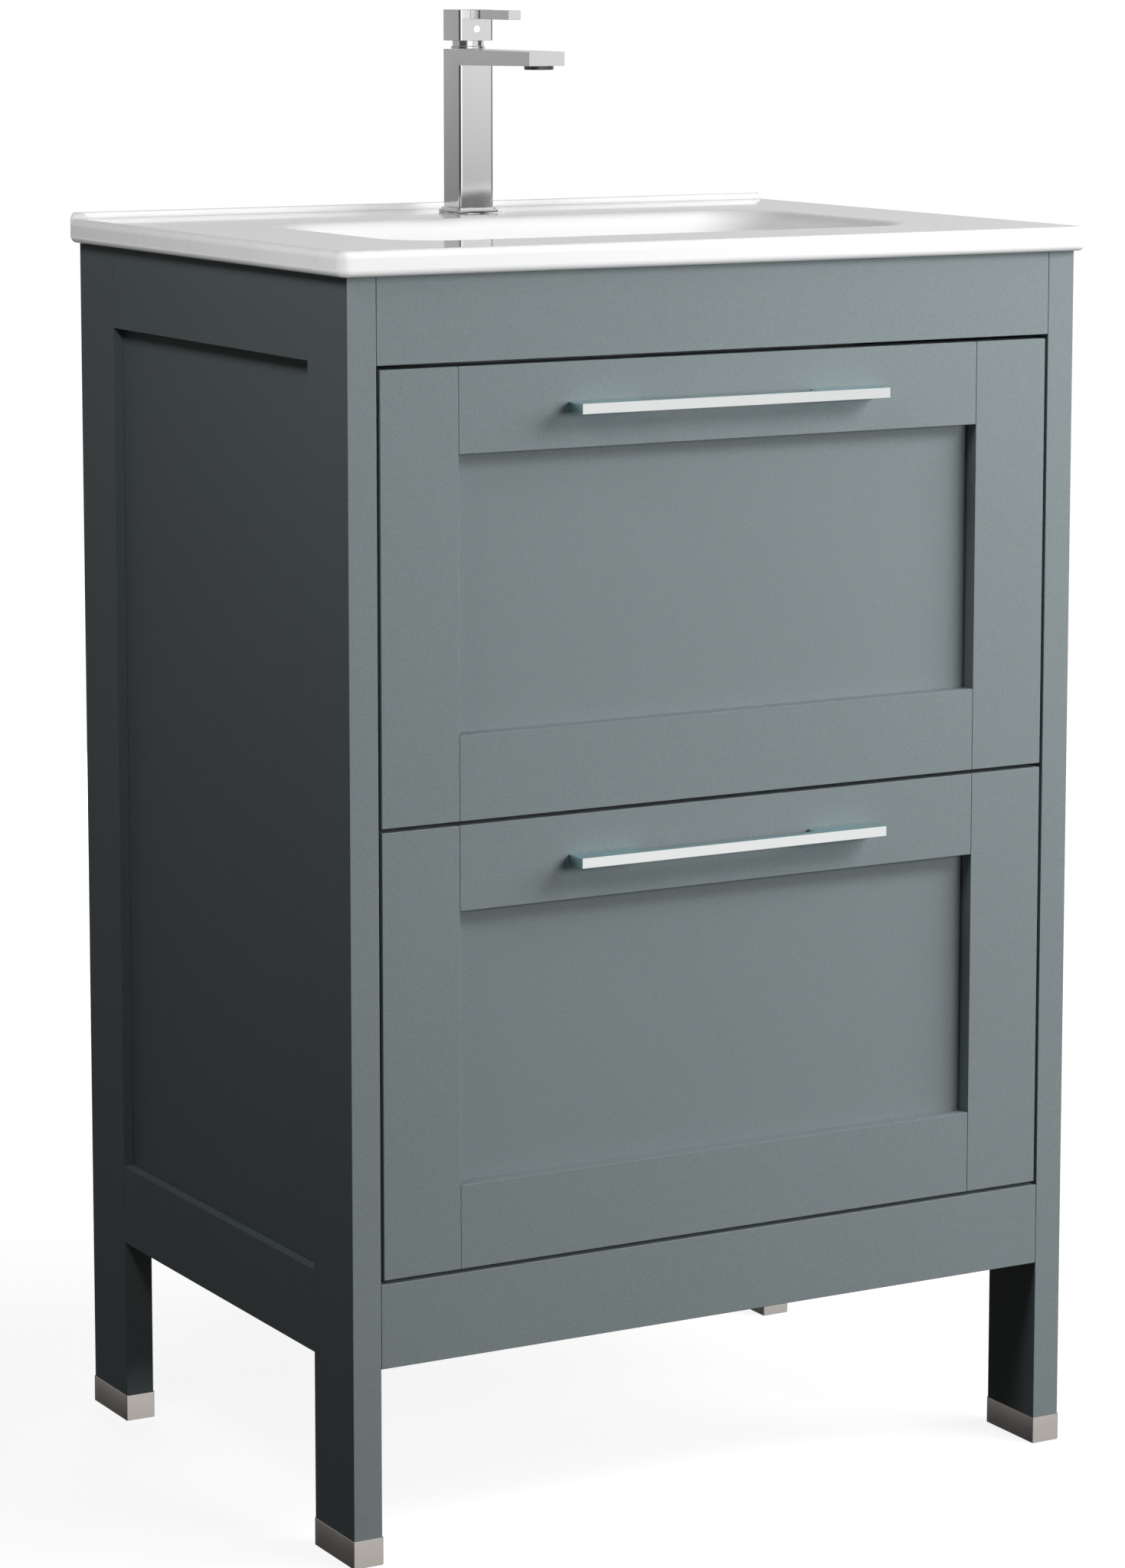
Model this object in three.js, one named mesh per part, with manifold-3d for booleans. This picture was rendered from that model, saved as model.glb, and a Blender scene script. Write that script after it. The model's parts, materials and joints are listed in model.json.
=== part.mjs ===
// Bathroom vanity: a painted frame-and-panel cabinet on four metal-capped legs, with two inset
// shaker drawers on telescopic slides, a ceramic basin top and a single-lever mixer tap.
// Millimetres, +Z up. The front faces -Y, and the origin is on the floor under the middle of the
// whole object, from the fronts of the pulls to the back edge of the top.
import * as THREE from "three";
import { mergeVertices } from "three/addons/utils/BufferGeometryUtils.js";
import Module from "manifold-3d";

const wasm = await Module();
wasm.setup();

// ---------------------------------------------------------------- driving dimensions

// Cabinet
const cabinetWidth = 594; // outside the posts
const cabinetDepth = 444; // front face to back face
const cabinetHeight = 897; // floor to the top of the rails
const legOpening = 140; // floor to the underside of the bottom rails
const postWidth = 22; // seen from the front; also the side rails' thickness
const postDepth = 60; // seen from the side
const railHeight = 60; // every rail of the carcass
const frontRailThickness = 20;
const glueLine = 0.25; // hairline left between pieces that meet

// Side, back and bottom panels, each held in grooves
const sideRecess = 8; // outer face of the frame to the face of the side panel
const sidePanelThickness = 9;
const grooveDepth = 6;
const backPanelThickness = 6;
const backPanelInset = 6; // back face to the back panel
const backRailThickness = 20;
const bottomPanelThickness = 12;
const bottomPanelDrop = 2; // below the top of the bottom rails
const pipeOpening = { width: 300, height: 220, corner: 25, drop: 97 }; // below the top back rail

// Foot caps, pressed metal cups on the ends of the legs
const capHeight = 20;
const capWall = 0.5;
const capFloor = 2;

// Drawers
const drawerCount = 2;
const drawerGap = 3; // over, under and between the fronts
const drawerSideGap = 2.5;
const frontThickness = 20;
const frontFrame = 60; // width of the stiles and rails of a front
const frontRecess = 12; // face of the frame to the face of the panel
const frontPanelThickness = 6;
const boxWall = 12;
const boxBottomThickness = 6;
const boxBottomLift = 8; // lower edge of the walls to the bottom panel
const boxRearGap = 4; // back of a box to the back rails
const boxLift = 25; // lower edge of a front to the lower edge of its box
const boxHeights = { upper: 155, lower: 200 };
const trapNotch = { width: 160, corner: 30, lift: 55 }; // in the upper box's back, for the trap

// Telescopic slides: three nested channels on each side of each box
const slideThickness = 12.5;
const slideHeight = 45;
const slideSheet = 1.25;
const slidePlay = 1.5; // between one channel and the next
const slideSetback = 4; // behind the drawer front
const slideRearGap = 6; // end of a slide to the back of the box
const slideLift = 28; // lower edge of the box to the lower edge of the slide

// Pulls: a flat bar on two broad feet
const pullLength = 252;
const pullHeight = 7.5;
const pullProjection = 19;
const pullBarDepth = 8;
const pullFoot = 55;
const pullDrop = 1.5; // below the middle of the top rail of the front

// Basin top
const topOverhang = 8; // past the sides and the front
const topBackOverhang = 5;
const topThickness = 18;
const topEdge = 5; // rounding of its long edges
const topCorner = 8; // rounding of its corners, seen from above
const lipHeight = 4.5;
const lipDepth = 13;
const bowlMargin = { side: 87, front: 74, back: 135 }; // edge of the top to the edge of the bowl
const bowlCorner = 50;
const bowlDepth = 118;
const bowlWall = 9;
const bowlRim = 12; // radius that rolls from the deck into the bowl
const bowlSlope = THREE.MathUtils.degToRad(72); // of the walls, from level
const bowlFillet = 35; // wall to floor, less where a short bowl leaves no room
const drainLandMargin = 5; // flat of the floor round the drain's flange

// Drain
const drainTube = { bore: 34, wall: 3, length: 95 };
const drainPlay = 2.5; // between the tube and the ceramic, all round
const drainFlange = { reach: 12, thickness: 2 };
const drainNut = { reach: 11, height: 12 };
const stopper = { inset: 2, height: 7, stem: 8, stemLength: 40, play: 1 };

// Tap
const tapFromBack = 68; // back edge of the top to the axis of the tap
const tapWidth = 30;
const tapDepth = 28;
const tapCorner = 3;
const tapFlange = { reach: 3.5, height: 4, corner: 5, play: 1 };
const tapShank = { length: 52, play: 3.5 }; // play is in the hole through the ceramic
const spoutTop = 124.5; // above the deck
const spoutReach = 124; // axis to tip
const spoutRoot = 12;
const spoutTip = 10.5;
const aerator = { diameter: 22, bore: 16, height: 8.5, showing: 2.75, fromTip: 12.5, play: 0.5 };
const collar = { reach: 1, height: 2 };
const handleGap = 6.5; // between the spout's top and the handle
const handleHeight = 23.5;
const handleCavity = { wall: 1.1, play: 0.9, height: 8 }; // play is round the neck
const neckIntoHandle = 1.5;
const lever = { width: 10.5, height: 7, reach: 74 };

// ---------------------------------------------------------------- places worked out from them

const pullFront = -pullProjection;
const topBack = cabinetDepth + topBackOverhang;
const frontFace = -(pullFront + topBack) / 2; // of the cabinet, in the part's own frame
const topWidth = cabinetWidth + 2 * topOverhang;
const topDepth = topBack + topOverhang;
const insideHalf = cabinetWidth / 2 - postWidth;
const upperRailFoot = cabinetHeight - railHeight;
const lowerRailHead = legOpening + railHeight;
const drawerHeight = (upperRailFoot - lowerRailHead - (drawerCount + 1) * drawerGap) / drawerCount;
const frontWidth = 2 * (insideHalf - drawerSideGap);
const boxWidth = 2 * (insideHalf - slideThickness - 2 * glueLine);
const boxLength = cabinetDepth - frontThickness - backRailThickness - boxRearGap;
const slideLength = boxLength - slideSetback - slideRearGap;
const deck = cabinetHeight + glueLine + topThickness;
const bowlWidth = topWidth - 2 * bowlMargin.side;
const bowlLength = topDepth - bowlMargin.front - bowlMargin.back;
const bowlMiddle = bowlMargin.front - topOverhang + bowlLength / 2;
const drainTubeRadius = drainTube.bore / 2 + drainTube.wall;
const drainFlangeRadius = drainTubeRadius + drainFlange.reach;
const drainLand = drainFlangeRadius + drainLandMargin; // radius of the flat round the drain
const shankRadius = Math.min(tapWidth, tapDepth) / 2;
const neckRadius = shankRadius - handleCavity.wall - handleCavity.play;
const handleFoot = spoutTop + handleGap;

// ---------------------------------------------------------------- materials

const finish = (color, roughness, metalness) =>
  new THREE.MeshStandardMaterial({ color, roughness, metalness });
const paint = () => finish(0x6f7c7f, 0.55, 0);
const plywood = () => finish(0xcdb38a, 0.6, 0);
const zinc = () => finish(0xb9bcbe, 0.35, 1);
const nickel = () => finish(0xb5afa8, 0.35, 1);
const satinMetal = () => finish(0xd8dadb, 0.22, 1);
const chrome = () => finish(0xc4c6c8, 0.14, 1);
const ceramic = () => finish(0xf1f1f0, 0.12, 0);

// ---------------------------------------------------------------- solids

// The closed solid of a geometry, as manifold-3d holds it.
function solidOf(geometry) {
  const bare = geometry.clone();
  bare.deleteAttribute("normal");
  bare.deleteAttribute("uv");
  const merged = mergeVertices(bare, 1e-4);
  const mesh = new wasm.Mesh({
    numProp: 3,
    vertProperties: merged.attributes.position.array,
    triVerts: new Uint32Array(merged.index.array),
  });
  return new wasm.Manifold(mesh);
}

function geometryOf(solid) {
  const mesh = solid.getMesh();
  const indexed = new THREE.BufferGeometry();
  indexed.setAttribute("position", new THREE.BufferAttribute(mesh.vertProperties.slice(), 3));
  indexed.setIndex(new THREE.BufferAttribute(mesh.triVerts.slice(), 1));
  const geometry = indexed.toNonIndexed();
  geometry.computeVertexNormals();
  return geometry;
}

// The first geometry joined with the next list, less the last list.
function combine(first, added, removed = []) {
  let solid = solidOf(first);
  for (const geometry of added) solid = solid.add(solidOf(geometry));
  for (const geometry of removed) solid = solid.subtract(solidOf(geometry));
  return geometryOf(solid);
}

const cut = (first, ...removed) => combine(first, [], removed);

// A box between two values on each axis, given in either order.
function boxBetween([x0, x1], [y0, y1], [z0, z1]) {
  const box = new THREE.BoxGeometry(Math.abs(x1 - x0), Math.abs(y1 - y0), Math.abs(z1 - z0));
  return box.translate((x0 + x1) / 2, (y0 + y1) / 2, (z0 + z1) / 2);
}

function cylinder(radius, z0, z1, segments = 32) {
  const column = new THREE.CylinderGeometry(radius, radius, z1 - z0, segments);
  return column.rotateX(Math.PI / 2).translate(0, 0, (z0 + z1) / 2);
}

// A turned piece: its profile is a list of [radius, height] that closes on itself or on the axis.
function turned(profile, segments = 32) {
  const points = profile.map(([radius, height]) => new THREE.Vector2(radius, height));
  return new THREE.LatheGeometry(points, segments).rotateX(Math.PI / 2);
}

function roundedRectangle(width, height, radius) {
  const [x, y] = [width / 2, height / 2];
  const shape = new THREE.Shape();
  shape.moveTo(radius - x, -y);
  shape.absarc(x - radius, radius - y, radius, -Math.PI / 2, 0);
  shape.absarc(x - radius, y - radius, radius, 0, Math.PI / 2);
  shape.absarc(radius - x, y - radius, radius, Math.PI / 2, Math.PI);
  shape.absarc(radius - x, radius - y, radius, Math.PI, 1.5 * Math.PI);
  return shape;
}

// A shape drawn in x and y, raised from z0 to z1.
function raised(shape, z0, z1, curveSegments = 4) {
  const options = { depth: z1 - z0, bevelEnabled: false, curveSegments };
  return new THREE.ExtrudeGeometry(shape, options).translate(0, 0, z0);
}

// A shape drawn in x and z, run back from y0 to y1.
function runBack(shape, y0, y1, curveSegments = 6) {
  const options = { depth: y1 - y0, bevelEnabled: false, curveSegments };
  return new THREE.ExtrudeGeometry(shape, options).rotateX(Math.PI / 2).translate(0, y1, 0);
}

function polygon(points) {
  return new THREE.Shape(points.map(([x, y]) => new THREE.Vector2(x, y)));
}

// A closed body through a stack of rings with the same number of points, from the lowest up.
function loft(rings) {
  const count = rings[0].length;
  const points = rings.flat();
  const faces = [];
  for (let level = 0; level + 1 < rings.length; level++) {
    for (let i = 0; i < count; i++) {
      const [a, b] = [level * count + i, level * count + ((i + 1) % count)];
      faces.push(a, b, b + count, a, b + count, a + count);
    }
  }
  const last = points.length - count;
  for (let i = 1; i + 1 < count; i++) {
    faces.push(0, i + 1, i, last, last + i, last + i + 1);
  }
  const geometry = new THREE.BufferGeometry();
  geometry.setAttribute("position", new THREE.Float32BufferAttribute(points.flat(), 3));
  return geometry.setIndex(faces);
}

// A rounded rectangle as a ring of points at one height, counter-clockwise from above.
function roundedRing(halfWidth, halfLength, radius, y, z) {
  const cornerSteps = 7;
  const ring = [];
  const corners = [[1, -1], [1, 1], [-1, 1], [-1, -1]];
  corners.forEach(([sideX, sideY], corner) => {
    for (let step = 0; step <= cornerSteps; step++) {
      const angle = (corner - 1 + step / cornerSteps) * (Math.PI / 2);
      const x = sideX * (halfWidth - radius) + radius * Math.cos(angle);
      ring.push([x, y + sideY * (halfLength - radius) + radius * Math.sin(angle), z]);
    }
  });
  return ring;
}

// ---------------------------------------------------------------- the scene

const vanity = new THREE.Group();

function add(group, name, geometry, material) {
  const mesh = new THREE.Mesh(geometry, material);
  mesh.name = name;
  group.add(mesh);
}

const sides = [["left", -1], ["right", 1]];

// In the carcass and the drawers y runs from 0 at the cabinet's front face.
const carcass = new THREE.Group();
carcass.position.y = frontFace;
vanity.add(carcass);

const panelRebate = grooveDepth - glueLine; // how far a panel's edge goes into its groove
const sideGrooveOut = cabinetWidth / 2 - sideRecess + glueLine;
const sideGrooveIn = cabinetWidth / 2 - sideRecess - sidePanelThickness - glueLine;
const backGroove = [
  cabinetDepth - backPanelInset - backPanelThickness - glueLine,
  cabinetDepth - backPanelInset + glueLine,
];
const backPanelFoot = legOpening + railHeight - grooveDepth + glueLine;
const backPanelHead = upperRailFoot + panelRebate;

function addPost(side, sideName, end) {
  const outer = side * (cabinetWidth / 2);
  const inner = side * insideHalf;
  const y = end === "front" ? [0, postDepth] : [cabinetDepth - postDepth, cabinetDepth];
  const inward = end === "front" ? [postDepth - grooveDepth, postDepth + 1]
    : [cabinetDepth - postDepth - 1, cabinetDepth - postDepth + grooveDepth];
  const grooveSpan = [lowerRailHead - grooveDepth, upperRailFoot + grooveDepth];
  const sideGroove = boxBetween([side * sideGrooveIn, side * sideGrooveOut], inward, grooveSpan);
  const backInto = [side * (insideHalf - 1), side * (insideHalf + grooveDepth)];
  const cuts = [sideGroove];
  if (end === "rear") cuts.push(boxBetween(backInto, backGroove, grooveSpan));
  const blank = boxBetween([outer, inner], y, [capFloor + glueLine, cabinetHeight]);
  add(carcass, `post_${end}_${sideName}`, cut(blank, ...cuts), paint());

  const middle = [(outer + inner) / 2, (y[0] + y[1]) / 2];
  const around = (extra, z) => boxBetween(
    [middle[0] - postWidth / 2 - extra, middle[0] + postWidth / 2 + extra],
    [middle[1] - postDepth / 2 - extra, middle[1] + postDepth / 2 + extra],
    z,
  );
  const cup = cut(around(glueLine + capWall, [0, capHeight]), around(glueLine, [capFloor, capHeight + 1]));
  add(carcass, `foot_cap_${end}_${sideName}`, cup, nickel());
}

function addSideFrame(side, sideName) {
  const x = [side * insideHalf, side * (cabinetWidth / 2)];
  const y = [postDepth + glueLine, cabinetDepth - postDepth - glueLine];
  const groove = (z) => boxBetween(
    [side * sideGrooveIn, side * sideGrooveOut], [0, cabinetDepth], z);
  const topRail = boxBetween(x, y, [upperRailFoot, cabinetHeight]);
  const bottomRail = boxBetween(x, y, [legOpening, lowerRailHead]);
  const topCut = groove([upperRailFoot - 1, upperRailFoot + grooveDepth]);
  const bottomCut = groove([lowerRailHead - grooveDepth, lowerRailHead + 1]);
  add(carcass, `side_rail_top_${sideName}`, cut(topRail, topCut), paint());
  add(carcass, `side_rail_bottom_${sideName}`, cut(bottomRail, bottomCut), paint());
  const panel = boxBetween(
    [side * (sideGrooveIn + glueLine), side * (sideGrooveOut - glueLine)],
    [postDepth - panelRebate, cabinetDepth - postDepth + panelRebate],
    [lowerRailHead - panelRebate, upperRailFoot + panelRebate],
  );
  add(carcass, `side_panel_${sideName}`, panel, paint());
}

for (const [sideName, side] of sides) {
  addPost(side, sideName, "front");
  addPost(side, sideName, "rear");
  addSideFrame(side, sideName);
}

// Rails and panels between the posts
const between = [glueLine - insideHalf, insideHalf - glueLine];
const frontRailY = [0, frontRailThickness];
const backRailY = [cabinetDepth - backRailThickness, cabinetDepth];
const topRailZ = [upperRailFoot, cabinetHeight];
const bottomRailZ = [legOpening, lowerRailHead];
add(carcass, "front_rail_top", boxBetween(between, frontRailY, topRailZ), paint());
add(carcass, "front_rail_bottom", boxBetween(between, frontRailY, bottomRailZ), paint());

const backGrooveTop = boxBetween([-cabinetWidth, cabinetWidth], backGroove,
  [upperRailFoot - 1, upperRailFoot + grooveDepth]);
const backGrooveBottom = boxBetween([-cabinetWidth, cabinetWidth], backGroove,
  [lowerRailHead - grooveDepth, lowerRailHead + 1]);
const backRailTop = boxBetween(between, backRailY, topRailZ);
const backRailBottom = boxBetween(between, backRailY, bottomRailZ);
add(carcass, "back_rail_top", cut(backRailTop, backGrooveTop), paint());
add(carcass, "back_rail_bottom", cut(backRailBottom, backGrooveBottom), paint());

const pipeShape = roundedRectangle(pipeOpening.width, pipeOpening.height, pipeOpening.corner);
const pipeCut = runBack(pipeShape, 0, cabinetDepth)
  .translate(0, 0, upperRailFoot - pipeOpening.drop - pipeOpening.height / 2);
const backPanel = boxBetween(
  [-insideHalf - panelRebate, insideHalf + panelRebate],
  [backGroove[0] + glueLine, backGroove[1] - glueLine],
  [backPanelFoot, backPanelHead],
);
add(carcass, "back_panel", cut(backPanel, pipeCut), plywood());

const bottomPanelTop = lowerRailHead - bottomPanelDrop;
const bottomPanel = boxBetween(
  between,
  [frontRailThickness + glueLine, cabinetDepth - backRailThickness - glueLine],
  [bottomPanelTop - bottomPanelThickness, bottomPanelTop],
);
add(carcass, "bottom_panel", bottomPanel, plywood());

// ---------------------------------------------------------------- drawers and slides

// Outline of a channel in x and z: its web from x = web, its flanges reaching to x = open.
function channel(web, open, halfHeight) {
  const sheet = Math.sign(open - web) * slideSheet;
  const inner = halfHeight - slideSheet;
  return polygon([
    [web, -halfHeight], [open, -halfHeight], [open, -inner], [web + sheet, -inner],
    [web + sheet, inner], [open, inner], [open, halfHeight], [web, halfHeight],
  ]);
}

// The three channels, as distances from the post's face: fixed, middle, and on the drawer.
const slideStep = slideSheet + slidePlay;
const slideMembers = [
  ["outer", channel.bind(null, 0, slideThickness - slideStep, slideHeight / 2)],
  ["middle", channel.bind(null, slideStep, slideThickness - slideStep, slideHeight / 2 - slideStep)],
  ["inner", channel.bind(null, slideThickness, 2 * slideStep, slideHeight / 2 - 2 * slideStep)],
];

function addSlides(group, drawerName, z) {
  const start = frontThickness + slideSetback;
  for (const [sideName, side] of sides) {
    for (const [member, outline] of slideMembers) {
      const run = runBack(outline(), start, start + slideLength);
      const place = new THREE.Matrix4().makeTranslation(-insideHalf + glueLine, 0, z);
      run.applyMatrix4(place);
      const mesh = new THREE.Mesh(run, zinc());
      mesh.name = `slide_${member}_${drawerName}_${sideName}`;
      mesh.scale.x = -side; // the right-hand slide mirrors the left
      group.add(mesh);
    }
  }
}

// A front: two full-height stiles, two rails between them and a panel in their grooves.
function addFront(group, drawerName) {
  const half = frontWidth / 2;
  const y = [0, frontThickness];
  const grooveY = [frontRecess - glueLine, frontRecess + frontPanelThickness + glueLine];
  const opening = [frontFrame - grooveDepth, drawerHeight - frontFrame + grooveDepth];
  for (const [sideName, side] of sides) {
    const stile = boxBetween([side * (half - frontFrame), side * half], y, [0, drawerHeight]);
    const into = [side * (half - frontFrame - 1), side * (half - frontFrame + grooveDepth)];
    const groove = boxBetween(into, grooveY, opening);
    add(group, `${drawerName}_front_stile_${sideName}`, cut(stile, groove), paint());
  }
  const railX = [frontFrame + glueLine - half, half - frontFrame - glueLine];
  for (const [railName, foot, mouth] of [
    ["bottom", 0, frontFrame],
    ["top", drawerHeight - frontFrame, drawerHeight - frontFrame],
  ]) {
    const rail = boxBetween(railX, y, [foot, foot + frontFrame]);
    const groove = boxBetween([-half, half], grooveY, [mouth - grooveDepth, mouth + grooveDepth]);
    add(group, `${drawerName}_front_rail_${railName}`, cut(rail, groove), paint());
  }
  const panel = boxBetween(
    [frontFrame - panelRebate - half, half - frontFrame + panelRebate],
    [frontRecess, frontRecess + frontPanelThickness],
    [frontFrame - panelRebate, drawerHeight - frontFrame + panelRebate],
  );
  add(group, `${drawerName}_front_panel`, panel, paint());
}

// The box behind a front: two sides, a back and a bottom panel in grooves.
function addBox(group, drawerName, height) {
  const half = boxWidth / 2;
  const y = [frontThickness + glueLine, frontThickness + boxLength];
  const z = [boxLift, boxLift + height];
  const bottomZ = [boxLift + boxBottomLift, boxLift + boxBottomLift + boxBottomThickness];
  const grooveZ = [bottomZ[0] - glueLine, bottomZ[1] + glueLine];
  for (const [sideName, side] of sides) {
    const wall = boxBetween([side * (half - boxWall), side * half], y, z);
    const into = [side * (half - boxWall - 1), side * (half - boxWall + grooveDepth)];
    const groove = boxBetween(into, [y[0] - 1, y[1] + 1], grooveZ);
    add(group, `${drawerName}_box_side_${sideName}`, cut(wall, groove), plywood());
  }
  const backX = [glueLine + boxWall - half, half - boxWall - glueLine];
  const backY = [y[1] - boxWall, y[1]];
  let back = boxBetween(backX, backY, [bottomZ[1] + glueLine, z[1]]);
  if (drawerName === "upper") {
    const notchHeight = 2 * height;
    const notch = roundedRectangle(trapNotch.width, notchHeight, trapNotch.corner);
    const notchMiddle = boxLift + trapNotch.lift + notchHeight / 2;
    back = cut(back, runBack(notch, y[0], y[1] + boxWall).translate(0, 0, notchMiddle));
  }
  add(group, `${drawerName}_box_back`, back, plywood());
  const bottomX = [boxWall - panelRebate - half, half - boxWall + panelRebate];
  add(group, `${drawerName}_box_bottom`, boxBetween(bottomX, y, bottomZ), plywood());
}

function addPull(group, drawerName) {
  const half = pullLength / 2;
  const barBack = pullBarDepth - pullProjection;
  const outline = polygon([
    [-half, -pullProjection], [half, -pullProjection], [half, -glueLine], [half - pullFoot, -glueLine],
    [half - pullFoot, barBack], [pullFoot - half, barBack], [pullFoot - half, -glueLine],
    [-half, -glueLine],
  ]);
  const middle = drawerHeight - frontFrame / 2 - pullDrop;
  const bar = raised(outline, middle - pullHeight / 2, middle + pullHeight / 2);
  add(group, `${drawerName}_pull`, bar, satinMetal());
}

function addDrawer(drawerName, z) {
  const drawer = new THREE.Group();
  drawer.position.z = z;
  addFront(drawer, drawerName);
  addBox(drawer, drawerName, boxHeights[drawerName]);
  addPull(drawer, drawerName);
  addSlides(drawer, drawerName, boxLift + slideLift + slideHeight / 2);
  carcass.add(drawer);
}

["lower", "upper"].forEach((drawerName, level) => {
  addDrawer(drawerName, lowerRailHead + drawerGap + level * (drawerHeight + drawerGap));
});

// ---------------------------------------------------------------- basin top

// The bowl's section: steps inwards from the outline and down from the deck, with the slope there.
// A roll off the deck, a straight wall, a fillet, and a floor that falls to the flat round the drain.
function bowlSection() {
  const [rollSteps, filletSteps] = [4, 5];
  const floorSlope = THREE.MathUtils.degToRad(3);
  const section = [];
  for (let i = 0; i <= rollSteps; i++) {
    const slope = (bowlSlope * i) / rollSteps;
    section.push({ inset: bowlRim * Math.sin(slope), depth: bowlRim * (1 - Math.cos(slope)), slope });
  }
  const roll = section[rollSteps];
  const steepRun = (bowlDepth - roll.depth) / Math.tan(bowlSlope);
  const filletRoom = bowlLength / 2 - drainLand - roll.inset - steepRun;
  const fillet = Math.min(bowlFillet, filletRoom / (Math.sin(bowlSlope) - Math.sin(floorSlope)));
  const filletDrop = fillet * (Math.cos(floorSlope) - Math.cos(bowlSlope));
  const floorRun = bowlLength / 2 - drainLand - roll.inset;
  const wallDrop = bowlDepth - roll.depth - filletDrop - floorRun * Math.sin(floorSlope) / 2;
  const wallRun = wallDrop / Math.tan(bowlSlope);
  for (let i = 0; i <= filletSteps; i++) {
    const slope = bowlSlope + ((floorSlope - bowlSlope) * i) / filletSteps;
    section.push({
      inset: roll.inset + wallRun + fillet * (Math.sin(bowlSlope) - Math.sin(slope)),
      depth: roll.depth + wallDrop + fillet * (Math.cos(slope) - Math.cos(bowlSlope)),
      slope,
    });
  }
  return section;
}

// A ring of the bowl at one step of its section, moved out square to the wall by some thickness.
function bowlRing({ inset, depth, slope }, thickness) {
  const out = inset - thickness * Math.sin(slope);
  const radius = bowlCorner - 0.15 * out;
  const z = deck - depth - thickness * Math.cos(slope);
  return roundedRing(bowlWidth / 2 - out, bowlLength / 2 - out, radius, bowlMiddle, z);
}

function basinTop() {
  const section = bowlSection();
  const land = (thickness) => roundedRing(drainLand + thickness, drainLand + thickness,
    drainLand + thickness, bowlMiddle, deck - bowlDepth - thickness);
  const rim = roundedRing(bowlWidth / 2, bowlLength / 2, bowlCorner, bowlMiddle, deck + 1);
  const inside = [rim, ...section.map((step) => bowlRing(step, 0)), land(0)];
  const wallPart = section.filter((step) => step.slope === bowlSlope || step.depth > bowlDepth / 2);
  const root = { inset: bowlRim * Math.sin(bowlSlope), depth: topThickness / 2, slope: bowlSlope };
  const outside = [
    bowlRing(root, bowlWall),
    ...wallPart.filter((step) => step.depth > topThickness).map((step) => bowlRing(step, bowlWall)),
    land(bowlWall),
  ];

  const edged = roundedRectangle(topWidth - 2 * topEdge, topDepth - 2 * topEdge, topCorner - topEdge);
  const slab = new THREE.ExtrudeGeometry(edged, {
    depth: topThickness - 2 * topEdge,
    bevelThickness: topEdge,
    bevelSize: topEdge,
    bevelSegments: 4,
    curveSegments: 4,
  });
  slab.translate(0, topBack - topDepth / 2, deck - topThickness + topEdge);

  const lipShape = new THREE.Shape();
  const lipRound = Math.min(lipHeight, lipDepth / 2) / 2;
  lipShape.moveTo(-lipDepth, -topEdge);
  lipShape.lineTo(0, -topEdge);
  lipShape.lineTo(0, lipHeight - lipRound);
  lipShape.absarc(-lipRound, lipHeight - lipRound, lipRound, 0, Math.PI / 2);
  lipShape.absarc(lipRound * 2 - lipDepth, lipHeight - lipRound, lipRound, Math.PI / 2, Math.PI);
  const lipWidth = topWidth - 2 * topEdge;
  const lipOptions = { depth: lipWidth, bevelEnabled: false, curveSegments: 4 };
  const lip = new THREE.ExtrudeGeometry(lipShape, lipOptions)
    .rotateX(Math.PI / 2).rotateZ(Math.PI / 2)
    .translate(-lipWidth / 2, topBack, deck);

  const drainCut = cylinder(drainTubeRadius + drainPlay, deck - 2 * bowlDepth, deck)
    .translate(0, bowlMiddle, 0);
  const tapCut = cylinder(shankRadius + tapShank.play, deck - 2 * topThickness, deck + topThickness)
    .translate(0, topBack - tapFromBack, 0);
  return combine(slab, [lip, loft(outside.reverse())], [loft(inside.reverse()), drainCut, tapCut]);
}

add(carcass, "sink_top", basinTop(), ceramic());

// Drain: a flanged tube with its nut, and a stopper that rises on its stem
const drain = new THREE.Group();
drain.position.set(0, bowlMiddle, deck - bowlDepth);
carcass.add(drain);

const flangeTop = glueLine + drainFlange.thickness;
const nutTop = -bowlWall - glueLine;
const nutRadius = drainTubeRadius + drainNut.reach;
add(drain, "drain_body", turned([
  [drainTube.bore / 2, -drainTube.length],
  [drainTubeRadius, -drainTube.length],
  [drainTubeRadius, nutTop - drainNut.height],
  [nutRadius, nutTop - drainNut.height],
  [nutRadius, nutTop],
  [drainTubeRadius, nutTop],
  [drainTubeRadius, glueLine],
  [drainFlangeRadius, glueLine],
  [drainFlangeRadius - drainFlange.thickness, flangeTop],
  [drainTube.bore / 2, flangeTop],
  [drainTube.bore / 2, -drainTube.length],
]), chrome());

const stopperRadius = drainFlangeRadius - stopper.inset;
const capFoot = flangeTop + stopper.play;
add(drain, "drain_stopper", turned([
  [0, capFoot - stopper.stemLength],
  [stopper.stem / 2, capFoot - stopper.stemLength],
  [stopper.stem / 2, capFoot],
  [stopperRadius, capFoot],
  [stopperRadius, capFoot + stopper.height / 2],
  [stopperRadius * 2 / 3, capFoot + stopper.height * 0.9],
  [0, capFoot + stopper.height],
]), chrome());

// ---------------------------------------------------------------- tap

// In the tap y is 0 on its axis and z is 0 on the deck.
const tap = new THREE.Group();
tap.position.set(0, topBack - tapFromBack, deck);
carcass.add(tap);

const tapSection = roundedRectangle(tapWidth, tapDepth, tapCorner);

function addTapFlange() {
  const { reach, height, corner, play } = tapFlange;
  const shape = roundedRectangle(tapWidth + 2 * reach, tapDepth + 2 * reach, corner);
  const plate = raised(shape, glueLine, height);
  add(tap, "faucet_flange", cut(plate, cylinder(shankRadius + play, -height, 2 * height)), chrome());
}

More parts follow.
